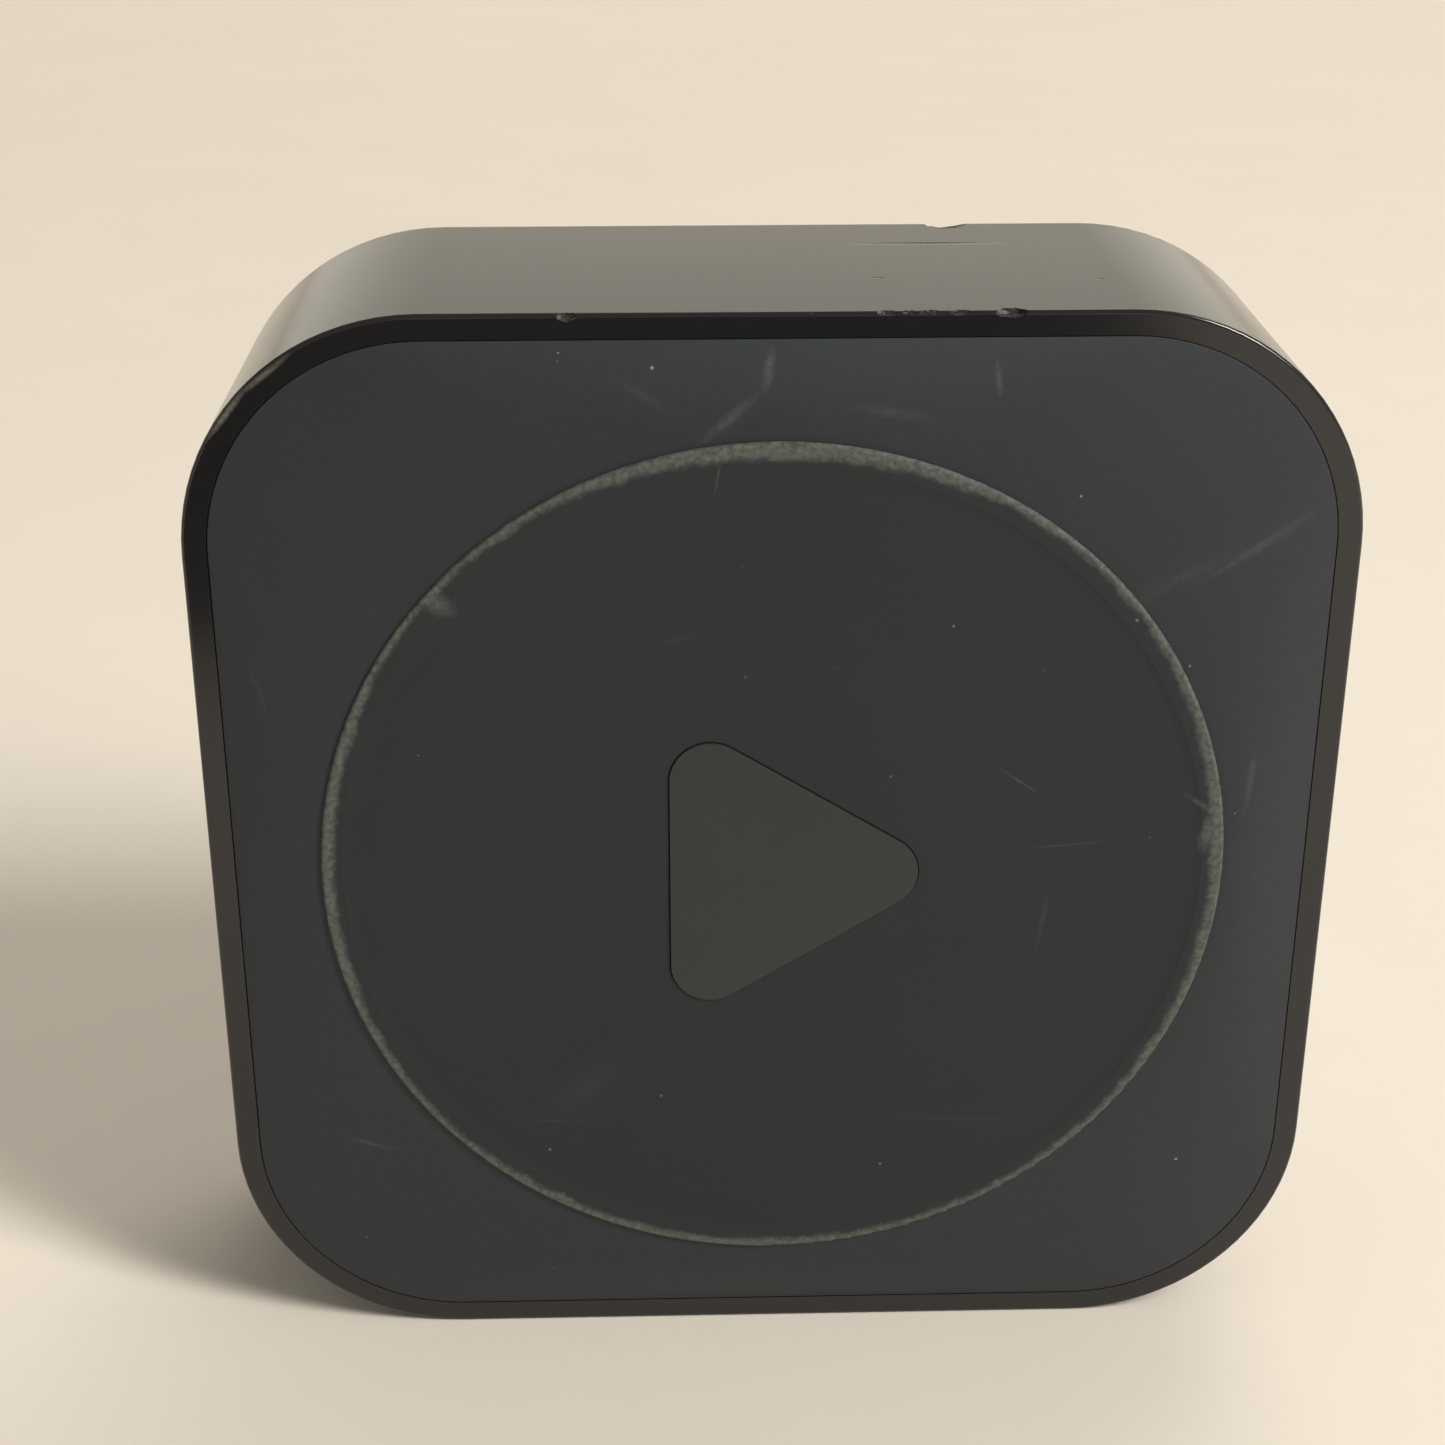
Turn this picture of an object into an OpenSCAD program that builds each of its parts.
// Streaming media player: a square box that stands here on one of its side walls,
// with its foot facing -Y and its top face facing +Y.
//
// Every piece is drawn in the assembly frame, with the box lying on its top face:
// x to the socket wall, y up the standing box, and z from the top face (z = 0)
// to the plane of the foot (z = case_depth). stand() turns a piece upright.

/* [Case] */
// Side of the square case
case_side = 98; // [94:0.1:130]
// Depth from the top face to the plane of the foot
case_depth = 35; // [34:0.1:48]
// Radius of the upright corners
corner_r = 20.3; // [16.5:0.01:24.5]
// Thickness of the side walls, which is also the width of the flat rim
case_wall = 2.1; // [1.6:0.1:2.6]
// Thickness of the top face
top_thickness = 2.2; // [1.6:0.1:2.8]
// Round between the top face and the side walls
top_edge_r = 2.2; // [1:0.1:3]
// Small round on the outer edge of the rim
rim_edge_r = 0.35; // [0.2:0.05:0.6]

/* [Bottom cover and foot] */
// How far the foot stands out from the rim
foot_height = 2.8; // [2:0.1:4]
// Diameter of the round foot
foot_d = 78.1; // [60:0.1:80]
// Step from the cover's crown up to the foot's face
foot_step = 0.7; // [0.4:0.1:1]
// Depth of the recess that the foot pad sits in
foot_recess = 0.5; // [0.3:0.1:0.6]
// Width of the raised ring that the foot stands on
foot_ring = 1.9; // [1:0.1:3]
// Depth of the shallow dish inside that ring
foot_dish = 0.3; // [0.1:0.05:0.4]
// Gap all round the cover
cover_gap = 0.2; // [0.1:0.05:0.3]
// Thickness of the cover
cover_thickness = 1.6; // [1.2:0.1:2]
// Depth of the cover's skirt inside the rim
skirt_depth = 3; // [2.5:0.1:3.6]
// Thickness of the skirt
skirt_thickness = 1.2; // [0.9:0.1:1.6]
// Length of each snap ridge on the skirt
snap_length = 24; // [14:1:29]
// How far the snap ridges stand out from the skirt
snap_out = 0.4; // [0.3:0.05:0.5]
// Height of the snap ridges
snap_h = 0.9; // [0.6:0.1:1.2]
// Length of the ledges that the skirt rests on
ledge_length = 8; // [5:1:10]
// How far the ledges stand in from the walls
ledge_out = 1; // [0.8:0.1:1.5]
// Height of the emblem, a rounded triangle
emblem_size = 25; // [16:1:32]
// How far the emblem stands up from the dish
emblem_proud = 0.18; // [0.05:0.01:0.25]

/* [Logic board] */
// Thickness of the logic board
logic_thickness = 1; // [0.8:0.1:1.6]
// Gap between the skirt and the logic board, where the service socket sits
logic_drop = 4; // [3.8:0.1:5]
// Gap between the boards and the side walls
board_gap = 3.4; // [2.6:0.1:5]
// Distance of the corner bosses from the inside of the walls
boss_inset = 10.4; // [10:0.1:12]
// Radius of the corner bosses
boss_r = 3; // [2.6:0.1:3.4]
// Radius of the screw threads
screw_r = 0.9; // [0.8:0.1:1.1]
// Thickness of the heat sink's plate
sink_thickness = 1.8; // [1.2:0.1:2.4]
// Height of the heat sink's fins
fin_height = 2.2; // [1:0.1:3]
// Number of fins
fin_count = 11; // [5:1:15]
// Thickness of the thermal pad
pad_thickness = 0.6; // [0.4:0.1:1]
// Height of the processor package
processor_height = 1; // [0.8:0.1:1.4]

/* [Power board] */
// Thickness of the power board
power_thickness = 1.4; // [1:0.1:1.8]
// Gap between the power board and the top face
power_gap = 2.4; // [2:0.1:3]
// Side of the transformer's core
core_side = 20; // [16:1:24]
// Diameter of the large smoothing capacitor
bulk_d = 10; // [8:0.5:10.5]
// Length of the large smoothing capacitor
bulk_length = 22; // [16:1:26]

/* [Sockets] */
// Diameter of the two pins of the mains inlet
mains_pin_d = 2.4; // [2.2:0.1:2.6]
// Distance between the two pins
mains_pin_pitch = 8.6; // [8:0.1:10.4]
// Length of the pins inside the inlet
mains_pin_length = 9; // [7.5:0.1:10]
// Width of one lobe of the inlet's recess
inlet_lobe_d = 8; // [7:0.1:9.6]
// Depth of the inlet's recess
inlet_depth = 10.5; // [10:0.1:12]
// Wall of the inlet's housing
inlet_wall = 1.3; // [1:0.1:1.8]
// Width of the video socket's mouth
video_w = 14; // [13.8:0.1:14.4]
// Height of the video socket's mouth
video_h = 4.6; // [4.5:0.1:5]
// Width of the service socket's mouth
service_w = 8.4; // [8.3:0.1:8.8]
// Height of the service socket's mouth
service_h = 2.6; // [2.5:0.1:2.8]
// Width of the network socket's cavity
network_w = 11.9; // [10:0.1:14.3]
// Height of the network socket's cavity
network_h = 7.1; // [6:0.1:8.6]
// Depth of the network socket's cavity
network_depth = 12.5; // [12:0.1:14]
// Width of the latch notch in the network socket
latch_w = 6.2; // [5:0.1:7]
// Depth of the latch notch
latch_h = 2; // [1.5:0.1:2.4]
// Length of each sprung contact
contact_length = 8.2; // [7:0.1:9]
// Angle at which the sprung contacts lean into the cavity
contact_lean = 23; // [18:1:26]
// Gap between a socket and the hole in the wall
socket_gap = 0.25; // [0.15:0.05:0.5]
// How far the sockets stand back from the face of the wall
socket_recess = 0.6; // [0.3:0.1:1]
// Place of the mains inlet along the wall, from its middle
inlet_y = -18.6; // [-19:0.1:-18]
// Place of the video and service sockets along the wall
video_y = -1.5; // [-2:0.1:1]
// Place of the network socket along the wall
network_y = 18.5; // [17:0.1:19]

/* [Hidden] */

$fn = 64;
// Overlap that joins two shapes, or carries a cut past a face
bite = 0.2;
// Gap left between pieces that only stand near each other
near = 0.1;

// Case
rim_z = case_depth - foot_height;
inner_half = case_side / 2 - case_wall;
inner_r = corner_r - case_wall;
crown_z = case_depth - foot_step;
cover_half = inner_half - cover_gap;
cover_r = inner_r - cover_gap;
skirt_z = rim_z - skirt_depth;
flat_half = inner_half - inner_r;
snap_z = skirt_z + 1;
groove_depth = snap_out + near - cover_gap;
ledge_h = 1;
ledge_place = flat_half - ledge_length / 2;

// Logic board, with its sockets on the side that faces the top of the case
logic_z = skirt_z - logic_drop - logic_thickness;
board_half = inner_half - board_gap;
board_r = inner_r - board_gap;
boss_at = inner_half - boss_inset;
pilot_depth = 8;
screw_head_r = 1.9;
screw_head_h = 1.1;
sink_top = logic_z - processor_height - pad_thickness;
sink_z = sink_top - sink_thickness;
sink_right = 26;
sink_half = boss_at - boss_r - 1;
sink_mid = (sink_right - sink_half) / 2;
sink_length = sink_right + sink_half;
sink_lug_r = 2.8;
sink_lug_inset = 5;
sink_corner_r = 4;
fin_thickness = 0.9;
lug_floor = 0.6;

// Parts on the logic board: where each stands from the middle, and its size
logic_face = logic_z + logic_thickness;
processor_at = [-6, 6];
processor_side = 14;
memory_at = [-6, 6];
memory_size = [12, 11, 0.9];
storage_at = [-6, -10];
storage_size = [14, 12, 1];
shield_size = [24, 38, 1.9];
wireless_inset = 12;
wireless_size = [10, 9, 1.2];
network_chip_at = [16, 17];
network_chip_size = [7, 7, 0.9];
power_chip_at = [12, -12];
power_chip_size = [6, 6, 0.9];
capacitor_groups = [[10, 12], [10, -21]];
capacitor_size = [1, 1.8, 0.7];

// Power board
power_z = top_thickness + power_gap;
power_face = power_z + power_thickness;
power_left = -board_half + 3.5;
power_right = inner_half - 4.8;
power_low = -boss_at + boss_r + 1;
power_high = boss_at - boss_r - 3;
power_boss_inset = 3;
power_boss_r = 2.6;
sheet_thickness = 0.3;
sheet_z = sink_z - fin_height - 0.3 - sheet_thickness;
post_r = 1.5;
post_pitch = 8;

// Parts on the power board: where each stands from the middle, and its size
core_at = [-14, 12];
core_height = 9.6;
core_leg = 3.4;
core_bridge = 2.4;
core_pole_r = 2.4;
bulk_at = [-24, -14];
choke_at = [14, -17];
choke_r = 6;
choke_h = 9.5;
choke_bore_r = 2.4;
film_at = [27, -28];
film_size = [6, 5, 9];
output_at = [4, 14];
output_pitch = 7.4;
output_r = 3.1;
output_h = 10;
inductor_at = [8, 3];
inductor_side = 7;
inductor_h = 4.2;
rectifier_at = [4, -27];
rectifier_size = [8, 6, 2.4];
transistor_at = [-30, 12];
transistor_size = [3.4, 10, 8];
opto_at = [-4, 0];
opto_size = [4.6, 6.4, 3.4];
fuse_at = [26, -20];
fuse_r = 2;
fuse_h = 7;

// Sockets, each set back from the face of the wall
wall_x = case_side / 2;
// The openings are cut from here, so that they also clear the wall where it curves inwards
opening_start = inner_half - 2;
socket_face = wall_x - socket_recess;
inlet_z = power_face + inlet_wall + inlet_lobe_d / 2 + near;
inlet_back = socket_face - inlet_depth - inlet_wall;
pin_root_r = mains_pin_d / 2 - 0.3;
sheet_metal = 0.4;
video_z = logic_z - video_h / 2 - sheet_metal - near;
video_length = 11.5;
service_z = logic_z + logic_thickness + service_h / 2 + sheet_metal / 2 + near;
service_length = 8;
// Length, width and thickness of each tongue's blade, and length and width of its root
video_blade = [8, 11.2, 1.2];
video_root = [2.2, 10.8];
service_blade = [6, 6.6, 0.7];
service_root = [1.2, 5.6];
network_side = 1.6;
network_roof = 3;
network_floor = 1.2;
network_top = logic_z - near;
network_z = network_top - network_roof - network_h;
network_bottom = network_z - latch_h - network_floor;
network_back = socket_face - network_depth - network_side;
skin = 0.25;
contact_pitch = 1.02;
contact_count = 8;
contact_w = 0.46;
contact_t = 0.32;
contact_bend_r = 0.5;
contact_x = socket_face - 2.2;
contact_pocket = 0.9;
contact_room = 0.3;
contact_z = network_z + network_h + contact_pocket;
leg_r = 0.25;

// Place of one contact along the wall
function contact_y(i) = network_y + (i - (contact_count - 1) / 2) * contact_pitch;

// Front of the case
front_x = -wall_x;
light_y = -3;
light_r = 0.8;
light_wall = 0.7;
light_size = [2, 2, 1.6];
infrared_y = 4;
antenna_length = 20;
antenna_y = flat_half - antenna_length / 2;
antenna_h = 11;
holder_thickness = 1.6;
antenna_z = power_face + 2;
antenna_x = -inner_half + near;
lead_r = 0.55;
lead_bend_r = 1.2;
lead_x = antenna_x + holder_thickness + skin + lead_r;

module stand() {
    translate([0, case_depth / 2, case_side / 2])
        rotate([90, 0, 0])
            children();
}

// A box centred in x and y that starts at z = 0
module block(x, y, z) {
    translate([-x / 2, -y / 2, 0])
        cube([x, y, z]);
}

// A square of half width h with round corners of radius r
module round_square(h, r) {
    square([2 * h, 2 * (h - r)], center = true);
    square([2 * (h - r), 2 * h], center = true);
    for (x = [-1, 1], y = [-1, 1])
        translate([x * (h - r), y * (h - r)])
            circle(r);
}

// A rectangle w by h with round corners of radius r
module round_rect(w, h, r) {
    square([w, h - 2 * r], center = true);
    square([w - 2 * r, h], center = true);
    for (x = [-1, 1], y = [-1, 1])
        translate([x * (w / 2 - r), y * (h / 2 - r)])
            circle(r);
}

// A closed band round the square of half width h: its section is the child, drawn
// with x measured from the centre of the corner arcs, whose radius is r
module square_band(h, r) {
    run = 2 * (h - r);
    for (turn = [0 : 3])
        rotate([0, 0, 90 * turn]) {
            translate([h - r, h - r, 0])
                rotate_extrude(angle = 90)
                    children();
            translate([h - r, h - r, 0])
                rotate([90, 0, 0])
                    linear_extrude(run)
                        children();
        }
}

// A convex outline through round corners: centres is a list of corner centres, anticlockwise
module round_outline(centres, r) {
    n = len(centres);
    polygon(centres);
    for (i = [0 : n - 1]) {
        a = centres[i];
        b = centres[(i + 1) % n];
        out = [b[1] - a[1], a[0] - b[0]] * r / norm(b - a);
        polygon([a, a + out, b + out, b]);
        translate(a)
            circle(r);
    }
}

// A screw whose head sits on z = 0 and whose thread runs down from it; the head has a
// six-lobed socket
module screw(length) {
    socket_depth = 0.7;
    difference() {
        cylinder(r = screw_head_r, h = screw_head_h);
        translate([0, 0, screw_head_h - socket_depth]) {
            cylinder(r = 0.62, h = socket_depth + bite, $fn = 24);
            for (lobe = [0 : 5])
                rotate([0, 0, 60 * lobe])
                    translate([0.55, 0, 0])
                        cylinder(r = 0.35, h = socket_depth + bite, $fn = 24);
        }
    }
    translate([0, 0, -length])
        cylinder(r = screw_r, h = length + bite, $fn = 32);
}

// Runs its child at the middle of the inner face of each side wall, with x outwards
module on_each_wall() {
    for (turn = [0 : 3])
        rotate([0, 0, 90 * turn])
            translate([inner_half, 0, 0])
                children();
}

// Runs its child at each corner boss of the case
module at_bosses() {
    for (x = [-1, 1], y = [-1, 1])
        translate([x * boss_at, y * boss_at, 0])
            children();
}

// Runs its child at each standoff of the power board
module at_power_bosses() {
    for (x = [power_left + power_boss_inset, power_right - power_boss_inset])
        for (y = [power_low + power_boss_inset, power_high - power_boss_inset])
            translate([x, y, 0])
                children();
}

// Runs its child at each lug of the heat sink
module at_sink_lugs() {
    for (x = [sink_lug_inset - sink_half, sink_right - sink_lug_inset])
        for (y = [-1, 1])
            translate([x, y * (sink_half - sink_lug_inset), 0])
                children();
}

// Turns a flat outline drawn in y and z to face the socket wall, pulled along x
module facing_wall(x0, x1) {
    translate([x0, 0, 0])
        rotate([90, 0, 90])
            linear_extrude(x1 - x0)
                children();
}

// Outline of the figure-of-eight recess, grown by extra
module inlet_outline(extra) {
    translate([inlet_y, inlet_z]) {
        square([mains_pin_pitch, inlet_lobe_d - 0.8 + 2 * extra], center = true);
        for (side = [-1, 1])
            translate([side * mains_pin_pitch / 2, 0])
                circle(inlet_lobe_d / 2 + extra);
    }
}

// Outline of the video socket's mouth, with two cut corners, grown by extra
module video_outline(extra) {
    w = video_w / 2 + extra;
    h = video_h / 2 + extra;
    cut = 1.5;
    translate([video_y, video_z])
        polygon([[-w, h], [-w, cut - h], [cut - w, -h], [w - cut, -h], [w, cut - h], [w, h]]);
}

// Outline of the service socket's mouth, grown by extra
module service_outline(extra) {
    translate([video_y, service_z])
        round_rect(service_w + 2 * extra, service_h + 2 * extra, service_h / 2 + extra - 0.05);
}

// Outline of the network socket's outside, grown by extra
module network_outline(extra) {
    w = network_w + 2 * network_side + 2 * extra;
    translate([network_y - w / 2, network_bottom - extra])
        square([w, network_top - network_bottom + 2 * extra]);
}

// Runs its child at each leg of the network socket: two staggered rows
module at_network_legs() {
    for (i = [0 : contact_count - 1])
        translate([network_back + 2 + 2.2 * (i % 2), contact_y(i), 0])
            children();
}

// Section of the side wall, with x measured from the centre of the corner arc
module wall_section() {
    apron = 4;
    difference() {
        union() {
            translate([corner_r - top_edge_r - apron, 0])
                square([apron + bite / 2, top_thickness]);
            translate([corner_r - top_edge_r, top_edge_r])
                circle(top_edge_r);
            translate([inner_r, top_edge_r])
                square([case_wall, rim_z - rim_edge_r - top_edge_r]);
            translate([inner_r, rim_z - rim_edge_r - bite])
                square([case_wall - rim_edge_r, rim_edge_r + bite]);
            translate([corner_r - rim_edge_r, rim_z - rim_edge_r])
                circle(rim_edge_r, $fn = 32);
        }
        translate([0, top_thickness])
            square([inner_r, rim_z]);
    }
}

module upper_case() {
    color("#0d0d0e")
        stand()
            difference() {
                union() {
                    square_band(case_side / 2, corner_r)
                        wall_section();
                    linear_extrude(top_thickness)
                        round_square(case_side / 2 - top_edge_r - 1, corner_r - top_edge_r - 1);
                    at_bosses()
                        translate([0, 0, top_thickness - bite])
                            cylinder(r = boss_r, h = logic_z - top_thickness + bite);
                    at_power_bosses()
                        translate([0, 0, top_thickness - bite])
                            cylinder(r = power_boss_r, h = power_gap + bite);
                    on_each_wall()
                        for (side = [-1, 1])
                            translate([-ledge_out, side * ledge_place - ledge_length / 2, skirt_z - ledge_h])
                                cube([ledge_out + bite, ledge_length, ledge_h]);
                }
                at_bosses()
                    translate([0, 0, logic_z - pilot_depth])
                        cylinder(r = screw_r, h = pilot_depth + bite, $fn = 32);
                at_power_bosses()
                    translate([0, 0, top_thickness - 1])
                        cylinder(r = screw_r, h = power_gap + 1 + bite, $fn = 32);
                on_each_wall()
                    translate([-bite, -snap_length / 2 - near, snap_z - near])
                        cube([groove_depth + bite, snap_length + 2 * near, snap_h + 2 * near]);
                facing_wall(opening_start, wall_x + bite)
                    inlet_outline(inlet_wall + socket_gap);
                facing_wall(opening_start, wall_x + bite)
                    video_outline(sheet_metal + socket_gap);
                facing_wall(opening_start, wall_x + bite)
                    service_outline(sheet_metal + socket_gap);
                facing_wall(opening_start, wall_x + bite)
                    network_outline(skin + socket_gap);
                translate([front_x + light_wall, light_y, logic_z - 1])
                    rotate([0, 90, 0])
                        cylinder(r = light_r + near, h = case_wall, $fn = 32);
            }
}

// The cover's outside: a soft slope from the square rim up to the round crown
module cover_slope(drop, inset) {
    hull() {
        translate([0, 0, rim_z - drop - 0.6])
            linear_extrude(0.6)
                round_square(cover_half - inset, cover_r - inset);
        translate([0, 0, crown_z - drop - 0.05])
            cylinder(r = foot_d / 2 + 0.45 - inset, h = 0.05, $fn = 96);
    }
}

module bottom_cover() {
    color("#3a3b3c")
        stand() {
            difference() {
                cover_slope(0, 0, $fn = 64);
                cover_slope(cover_thickness, skirt_thickness, $fn = 64);
                translate([0, 0, crown_z - foot_recess])
                    cylinder(r = foot_d / 2 + near / 2, h = foot_step + foot_recess, $fn = 96);
            }
            translate([0, 0, skirt_z])
                linear_extrude(skirt_depth - 0.4)
                    difference() {
                        round_square(cover_half, cover_r);
                        round_square(cover_half - skirt_thickness, cover_r - skirt_thickness);
                    }
            on_each_wall()
                translate([-cover_gap - bite, -snap_length / 2, snap_z])
                    cube([snap_out + bite, snap_length, snap_h]);
        }
}

// Corner centres of the emblem: a triangle that points along +x
function emblem_centres(size, r) = [
    [size * 0.5 - r, 0],
    [-size * 0.36 + r, size * 0.5 - r],
    [-size * 0.36 + r, r - size * 0.5]
];

module emblem_outline(extra) {
    emblem_round = emblem_size * 0.14;
    round_outline(emblem_centres(emblem_size, emblem_round), emblem_round + extra);
}

// A flat disc with a rounded rim, dished inside the ring that it stands on
module foot_pad() {
    dish_r = foot_d / 2 - foot_ring;
    dish_slope = 1;
    edge_r = 0.35;
    base_z = crown_z - foot_recess;
    color("#2b2c2d")
        stand()
            difference() {
                rotate_extrude($fn = 96) {
                    translate([0, base_z])
                        square([foot_d / 2, case_depth - base_z - edge_r]);
                    translate([0, case_depth - edge_r - bite])
                        square([foot_d / 2 - edge_r, edge_r + bite]);
                    translate([foot_d / 2 - edge_r, case_depth - edge_r])
                        circle(edge_r, $fn = 32);
                }
                translate([0, 0, case_depth - foot_dish])
                    cylinder(r1 = dish_r - dish_slope, r2 = dish_r, h = foot_dish, $fn = 96);
                translate([0, 0, case_depth - bite / 100])
                    cylinder(r = dish_r, h = bite, $fn = 96);
                translate([0, 0, base_z - bite])
                    linear_extrude(case_depth)
                        emblem_outline(near);
            }
}

module emblem_inlay() {
    color("#454646")
        stand()
            translate([0, 0, crown_z - foot_recess])
                linear_extrude(foot_recess + foot_step - foot_dish + emblem_proud)
                    emblem_outline(0);
}

// Holes for screws through a board that starts at z0
module screw_holes(z0, thickness) {
    translate([0, 0, z0 - bite])
        cylinder(r = screw_r + near, h = thickness + 2 * bite, $fn = 32);
}

module logic_board() {
    color("#14503a")
        stand()
            difference() {
                translate([0, 0, logic_z])
                    linear_extrude(logic_thickness)
                        round_square(board_half, board_r);
                at_bosses()
                    screw_holes(logic_z, logic_thickness);
                at_sink_lugs()
                    screw_holes(logic_z, logic_thickness);
                at_network_legs()
                    translate([0, 0, logic_z - bite])
                        cylinder(r = leg_r + near, h = logic_thickness + 2 * bite, $fn = 24);
            }
}

// A chip on the board's side that faces the heat sink
module chip_below(place, size) {
    translate([place[0], place[1], logic_z - size[2]])
        block(size[0], size[1], size[2]);
}

// A chip on the board's side that faces the cover
module chip_above(place, size) {
    translate([place[0], place[1], logic_face])
        block(size[0], size[1], size[2]);
}

module processor() {
    color("#1c1c1e")
        stand()
            chip_below(processor_at, [processor_side, processor_side, processor_height]);
}

module thermal_pad() {
    color("#8d94a0")
        stand()
            translate([processor_at[0], processor_at[1], sink_top])
                block(processor_side - 1, processor_side - 1, pad_thickness);
}

module memory_chip() {
    color("#1c1c1e")
        stand()
            chip_above(memory_at, memory_size);
}

module storage_chip() {
    color("#202022")
        stand()
            chip_above(storage_at, storage_size);
}

module wireless_module() {
    color("#9a9c9f")
        stand()
            chip_below([wireless_inset - board_half, 0], wireless_size);
}

module network_controller() {
    color("#1c1c1e")
        stand()
            chip_below(network_chip_at, network_chip_size);
}

module power_management_chip() {
    color("#1c1c1e")
        stand()
            chip_below(power_chip_at, power_chip_size);
}

// Two groups of small ceramic capacitors, each of two rows
module board_capacitors() {
    color("#a58a68")
        stand()
            for (group = capacitor_groups, column = [0 : 4], row = [0, 1])
                chip_above(group + [2.4 * column, 4 * row], capacitor_size);
}

// Tinplate lid over the memory and the storage, open towards the board
module board_shield() {
    w = shield_size[0];
    h = shield_size[1];
    height = shield_size[2];
    color("#b9bbbd")
        stand()
            translate([memory_at[0], (memory_at[1] + storage_at[1]) / 2, logic_face])
                difference() {
                    block(w, h, height);
                    translate([0, 0, -bite])
                        block(w - 2 * skin, h - 2 * skin, height - skin + bite);
                }
}

module heat_sink() {
    fin_span = 2 * (sink_half - sink_lug_inset - sink_lug_r) - 2;
    fin_pitch = fin_span / (fin_count - 1);
    fin_inset = 6;
    color("#a9abad")
        stand()
            difference() {
                union() {
                    translate([sink_mid, 0, sink_z])
                        linear_extrude(sink_thickness)
                            round_rect(sink_length, 2 * sink_half, sink_corner_r);
                    for (i = [0 : fin_count - 1])
                        translate([sink_mid, i * fin_pitch - fin_span / 2, sink_z - fin_height])
                            block(sink_length - 2 * fin_inset, fin_thickness, fin_height + bite);
                    at_sink_lugs()
                        translate([0, 0, sink_z])
                            cylinder(r = sink_lug_r, h = logic_z - sink_z);
                }
                at_sink_lugs()
                    translate([0, 0, sink_z + lug_floor])
                        cylinder(r = screw_r, h = logic_z, $fn = 32);
            }
}

module heat_sink_screws() {
    color("#8a8b8d")
        stand()
            at_sink_lugs()
                translate([0, 0, logic_face])
                    screw(logic_face - sink_z - lug_floor - 2 * near);
}

module board_screws() {
    color("#8a8b8d")
        stand()
            at_bosses()
                translate([0, 0, logic_face])
                    screw(logic_thickness + pilot_depth - 2);
}

module power_board() {
    color("#8a6a2f")
        stand()
            difference() {
                translate([power_left, power_low, power_z])
                    cube([power_right - power_left, power_high - power_low, power_thickness]);
                at_power_bosses()
                    screw_holes(power_z, power_thickness);
            }
}

module power_screws() {
    color("#8a8b8d")
        stand()
            at_power_bosses()
                translate([0, 0, power_face])
                    screw(power_thickness + power_gap - near);
}

// A frame of ferrite with a round middle leg, lying flat on the board
module transformer_core() {
    depth = core_side * 0.8;
    color("#2f2f33")
        stand()
            translate([core_at[0], core_at[1], power_face]) {
                difference() {
                    block(core_side, depth, core_height);
                    translate([0, 0, -bite])
                        block(core_side - 2 * core_leg, depth - 2 * core_bridge, core_height + 2 * bite);
                }
                translate([0, core_bridge / 2 - depth / 2, core_height / 2])
                    rotate([-90, 0, 0])
                        cylinder(r = core_pole_r, h = depth - core_bridge, $fn = 48);
            }
}

module transformer_winding() {
    length = core_side * 0.8 - 2 * core_bridge - 2 * near;
    color("#c8a13a")
        stand()
            translate([core_at[0], core_at[1] - length / 2, power_face + core_height / 2])
                rotate([-90, 0, 0])
                    difference() {
                        cylinder(r = core_height / 2, h = length);
                        translate([0, 0, -bite])
                            cylinder(r = core_pole_r + near, h = length + 2 * bite, $fn = 48);
                    }
}

// A capacitor can standing on z = 0, with a pressed groove near that end
module capacitor_can(r, length, groove_at, groove_w, groove_depth) {
    rotate_extrude() {
        square([r, groove_at]);
        square([r - groove_depth, length]);
        translate([0, groove_at + groove_w])
            square([r, length - groove_at - groove_w]);
    }
}

module bulk_capacitor() {
    color("#22324d")
        stand()
            translate([bulk_at[0], bulk_at[1], power_face + bulk_d / 2])
                rotate([0, 90, 0])
                    capacitor_can(bulk_d / 2, bulk_length, 2.2, 0.8, 0.5);
}

module filter_choke() {
    color("#b5642d")
        stand()
            translate([choke_at[0], choke_at[1], power_face])
                difference() {
                    cylinder(r = choke_r, h = choke_h);
                    translate([0, 0, -bite])
                        cylinder(r = choke_bore_r, h = choke_h + 2 * bite, $fn = 48);
                }
}

// Stands a block of the given size on the power board
module on_power_board(place, size) {
    translate([place[0], place[1], power_face])
        block(size[0], size[1], size[2]);
}

module film_capacitor() {
    color("#c9b23c")
        stand()
            on_power_board(film_at, film_size);
}

module output_capacitors() {
    color("#1f2a38")
        stand()
            for (i = [0 : 2])
                translate([output_at[0] + output_pitch * i, output_at[1], power_face])
                    capacitor_can(output_r, output_h, 2, 0.6, 0.3);
}

module output_inductor() {
    color("#3a3a3c")
        stand() {
            on_power_board(inductor_at, [inductor_side, inductor_side, 1]);
            translate([inductor_at[0], inductor_at[1], power_face])
                cylinder(r = inductor_side / 2 - 0.3, h = inductor_h);
        }
}

module bridge_rectifier() {
    color("#18181a")
        stand()
            on_power_board(rectifier_at, rectifier_size);
}

// A flat body with its metal tab standing above it
module switching_transistor() {
    color("#1b1b1d")
        stand() {
            on_power_board(transistor_at, transistor_size);
            on_power_board(transistor_at, [1.2, transistor_size[1] - 0.4, transistor_size[2] + 2]);
        }
}

module opto_coupler() {
    color("#efeee8")
        stand()
            on_power_board(opto_at, opto_size);
}

module mains_fuse() {
    color("#5b3a2a")
        stand()
            translate([fuse_at[0], fuse_at[1], power_face])
                cylinder(r = fuse_r, h = fuse_h, $fn = 48);
}

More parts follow.
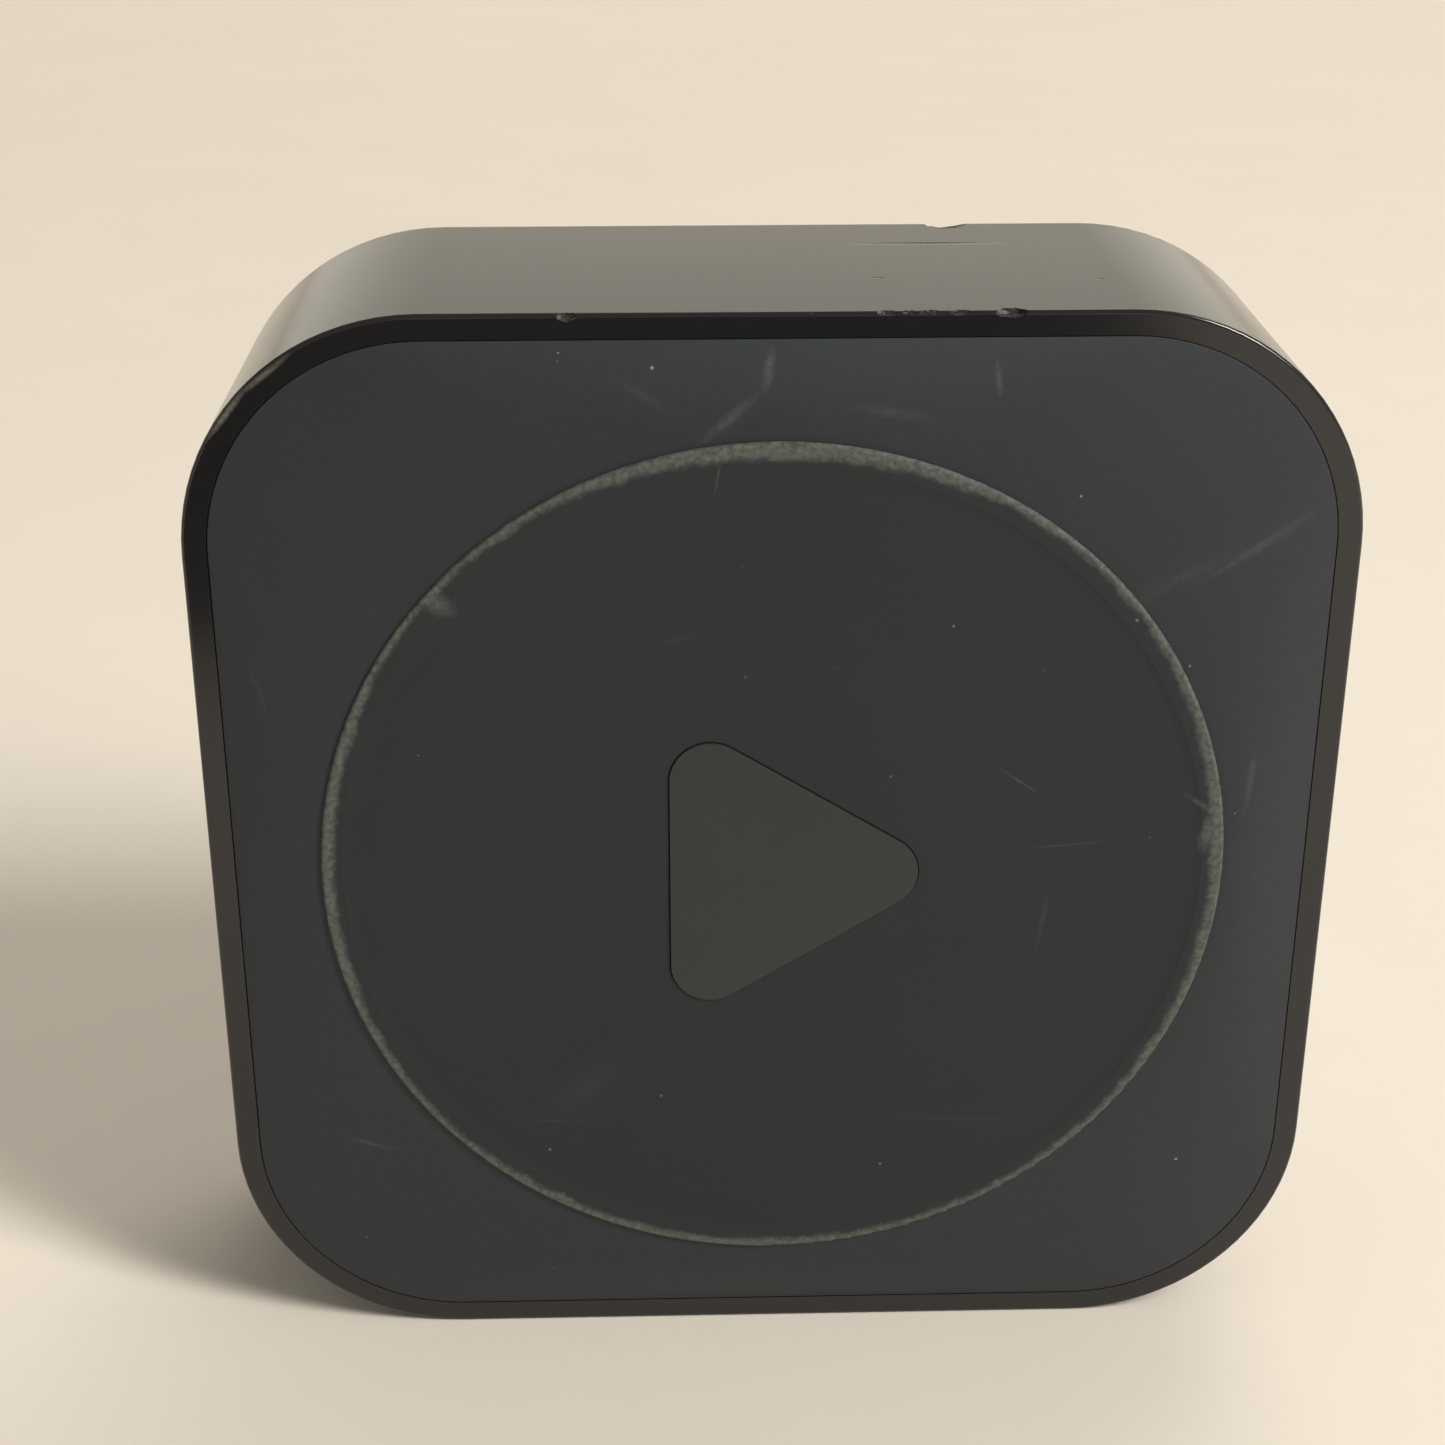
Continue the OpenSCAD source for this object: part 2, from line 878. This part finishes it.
// Brass posts that carry the supply up to the logic board
module power_posts() {
    color("#b8963e")
        stand()
            for (i = [-1 : 1])
                translate([sink_right + 2 * post_r, post_pitch * i, power_face])
                    cylinder(r = post_r, h = logic_z - power_face, $fn = 48);
}

module insulating_sheet() {
    color("#dad7cc")
        stand()
            translate([sink_mid, 0, sheet_z])
                block(sink_length, 2 * sink_half - 2, sheet_thickness);
}

module mains_inlet() {
    color("#151517")
        stand()
            difference() {
                facing_wall(inlet_back, socket_face)
                    inlet_outline(inlet_wall);
                facing_wall(inlet_back + inlet_wall, wall_x)
                    inlet_outline(0);
                at_mains_pins()
                    translate([0, 0, -bite])
                        cylinder(r = pin_root_r, h = inlet_wall + 2 * bite, $fn = 48);
            }
}

// Runs its child at the back of the inlet on each pin's axis, with z along the pin
module at_mains_pins() {
    for (side = [-1, 1])
        translate([inlet_back, inlet_y + side * mains_pin_pitch / 2, inlet_z])
            rotate([0, 90, 0])
                children();
}

// Two shouldered pins with bevelled noses; each has a tail that turns down to the board
module mains_pins() {
    pin_r = mains_pin_d / 2;
    nose = 0.6;
    tail = 2;
    blade = 1;
    color("#c9cacb")
        stand()
            at_mains_pins() {
                translate([0, 0, inlet_wall])
                    cylinder(r = pin_r, h = mains_pin_length - nose, $fn = 48);
                translate([0, 0, inlet_wall + mains_pin_length - nose])
                    cylinder(r1 = pin_r, r2 = pin_r - nose, h = nose, $fn = 48);
                translate([0, 0, -tail])
                    cylinder(r = pin_root_r, h = tail + inlet_wall + bite, $fn = 48);
                translate([0, -blade / 2, blade / 2 - tail])
                    cube([inlet_z - power_face, blade, blade]);
            }
}

module video_socket() {
    color("#c2c3c5")
        stand()
            difference() {
                facing_wall(socket_face - video_length, socket_face)
                    video_outline(sheet_metal);
                facing_wall(socket_face - video_length + sheet_metal, wall_x)
                    video_outline(0);
            }
}

// A socket's tongue: a thin blade, and a thicker root at the back of the shell
module tongue(back, place_z, mouth_h, blade, root) {
    translate([back, video_y - blade[1] / 2, place_z - blade[2] / 2])
        cube(blade);
    translate([back, video_y - root[1] / 2, place_z - mouth_h / 2 + near])
        cube([root[0], root[1], mouth_h - 2 * near]);
}

module video_tongue() {
    back = socket_face - video_length + sheet_metal + near;
    color("#1a1a1c")
        stand()
            tongue(back, video_z, video_h, video_blade, video_root);
}

module service_socket() {
    color("#c2c3c5")
        stand()
            difference() {
                facing_wall(socket_face - service_length, socket_face)
                    service_outline(sheet_metal / 2);
                facing_wall(socket_face - service_length + sheet_metal, wall_x)
                    service_outline(0);
            }
}

module service_tongue() {
    back = socket_face - service_length + sheet_metal + near;
    color("#1a1a1c")
        stand()
            tongue(back, service_z, service_h, service_blade, service_root);
}

// Insulating body of the network socket, with a latch notch on one side of its cavity
// and a slotted pocket for the sprung contacts on the other
module network_socket() {
    pocket_w = contact_pitch * contact_count + 0.4;
    pocket_x = contact_x - contact_length - 0.8;
    pocket_h = contact_pocket + contact_bend_r + contact_room;
    color("#1b1b1d")
        stand()
            difference() {
                facing_wall(network_back, socket_face)
                    network_outline(0);
                translate([socket_face - network_depth, network_y - network_w / 2, network_z])
                    cube([network_depth + bite, network_w, network_h]);
                translate([socket_face - network_depth, network_y - latch_w / 2, network_z - latch_h])
                    cube([network_depth + bite, latch_w, latch_h + bite]);
                translate([pocket_x, network_y - pocket_w / 2, network_z + network_h - bite])
                    cube([contact_x + 1 - pocket_x, pocket_w, bite + pocket_h]);
            }
}

// Eight sprung wires, each bent round the hinge line near the mouth
module network_contacts() {
    color("#d1a648")
        stand()
            for (i = [0 : contact_count - 1])
                translate([contact_x, contact_y(i) - contact_w / 2, contact_z])
                    rotate([-90, 0, 0]) {
                        cylinder(r = contact_bend_r, h = contact_w, $fn = 48);
                        rotate([0, 0, 180 - contact_lean])
                            translate([0, contact_bend_r - contact_t, 0])
                                cube([contact_length, contact_t, contact_w]);
                    }
}

module network_legs() {
    color("#c9cacb")
        stand()
            at_network_legs()
                translate([0, 0, network_top])
                    cylinder(r = leg_r, h = near + logic_thickness + 1.2, $fn = 24);
}

// Tinplate shell round three sides of the network socket, open towards the board
module network_shield() {
    color("#bfc1c3")
        stand()
            facing_wall(network_back, socket_face)
                difference() {
                    network_outline(skin);
                    network_outline(0.01);
                    translate([network_y - network_w, network_top])
                        square([2 * network_w, 1]);
                }
}

// Earthed plate just inside the socket wall
module port_shield() {
    plate_thickness = 0.4;
    plate_x = inner_half - plate_thickness - 3 * near;
    half = flat_half - near;
    plate_top = skirt_z - ledge_h - near;
    color("#aeb0b2")
        stand()
            facing_wall(plate_x, plate_x + plate_thickness)
                difference() {
                    translate([-half, power_z])
                        square([2 * half, plate_top - power_z]);
                    inlet_outline(inlet_wall + near);
                    video_outline(sheet_metal + near);
                    service_outline(sheet_metal + near);
                    network_outline(skin + near);
                }
}

module status_light() {
    color("#f2f2ee")
        stand()
            chip_below([1.2 - board_half, light_y], light_size);
}

// Clear rod from the status light to the thin spot in the front wall
module light_pipe() {
    start = front_x + light_wall + near;
    color("#e6eef0")
        stand()
            translate([start, light_y, logic_z - 1])
                rotate([0, 90, 0])
                    cylinder(r = light_r, h = 0.2 - board_half - near - start, $fn = 48);
}

module infrared_receiver() {
    height = 3.2;
    color("#2a1518")
        stand()
            translate([-board_half + 2, infrared_y, logic_z - height]) {
                block(3, 5, height);
                translate([-1.4, 0, height / 2])
                    sphere(1.3, $fn = 32);
            }
}

// Plastic carriers that hold the two aerials against the front wall
module antenna_holders() {
    color("#e4e2da")
        stand()
            for (side = [-1, 1])
                translate([antenna_x, side * antenna_y - antenna_length / 2, antenna_z])
                    cube([holder_thickness, antenna_length, antenna_h]);
}

// One aerial: a pressed strip with a slot, on the inner face of its carrier
module antenna(side) {
    border = 1;
    slot = 1;
    translate([antenna_x + holder_thickness, side * antenna_y, antenna_z])
        difference() {
            translate([0, border - antenna_length / 2, border])
                cube([skin, antenna_length - 2 * border, antenna_h - 2 * border]);
            translate([-bite, 3 * border - antenna_length / 2, (antenna_h - slot) / 2])
                cube([skin + 2 * bite, antenna_length - 8 * border, slot]);
        }
}

module antenna_left() {
    color("#c77f3b")
        stand()
            antenna(-1);
}

module antenna_right() {
    color("#c77f3b")
        stand()
            antenna(1);
}

// Thin leads that rise from the aerials, turn over the board's edge and end on its face
module antenna_leads() {
    start_z = antenna_z + 3;
    run_z = logic_z - 3.4;
    end_x = 2.5 - board_half;
    color("#3b3c3e")
        stand()
            for (side = [-1, 1])
                translate([lead_x, side * (antenna_y - 5), 0]) {
                    translate([0, 0, start_z])
                        cylinder(r = lead_r, h = run_z - lead_bend_r - start_z, $fn = 24);
                    translate([lead_bend_r, 0, run_z - lead_bend_r])
                        rotate([-90, 180, 0])
                            quarter_bend();
                    translate([lead_bend_r, 0, run_z])
                        rotate([0, 90, 0])
                            cylinder(r = lead_r, h = end_x - lead_x - 2 * lead_bend_r, $fn = 24);
                    translate([end_x - lead_x - lead_bend_r, 0, run_z + lead_bend_r])
                        rotate([-90, 0, 0])
                            quarter_bend();
                    translate([end_x - lead_x, 0, run_z + lead_bend_r])
                        cylinder(r = lead_r, h = logic_z - near - run_z - lead_bend_r, $fn = 24);
                }
}

// A quarter turn of lead, from the +x side of its centre round to the +y side
module quarter_bend() {
    rotate_extrude(angle = 90)
        translate([lead_bend_r, 0])
            circle(lead_r, $fn = 24);
}

upper_case();
bottom_cover();
foot_pad();
emblem_inlay();
logic_board();
processor();
thermal_pad();
memory_chip();
storage_chip();
wireless_module();
network_controller();
power_management_chip();
board_capacitors();
board_shield();
heat_sink();
heat_sink_screws();
board_screws();
power_board();
power_screws();
transformer_core();
transformer_winding();
bulk_capacitor();
filter_choke();
film_capacitor();
output_capacitors();
output_inductor();
bridge_rectifier();
switching_transistor();
opto_coupler();
mains_fuse();
power_posts();
insulating_sheet();
mains_inlet();
mains_pins();
video_socket();
video_tongue();
service_socket();
service_tongue();
network_socket();
network_contacts();
network_legs();
network_shield();
port_shield();
status_light();
light_pipe();
infrared_receiver();
antenna_holders();
antenna_left();
antenna_right();
antenna_leads();
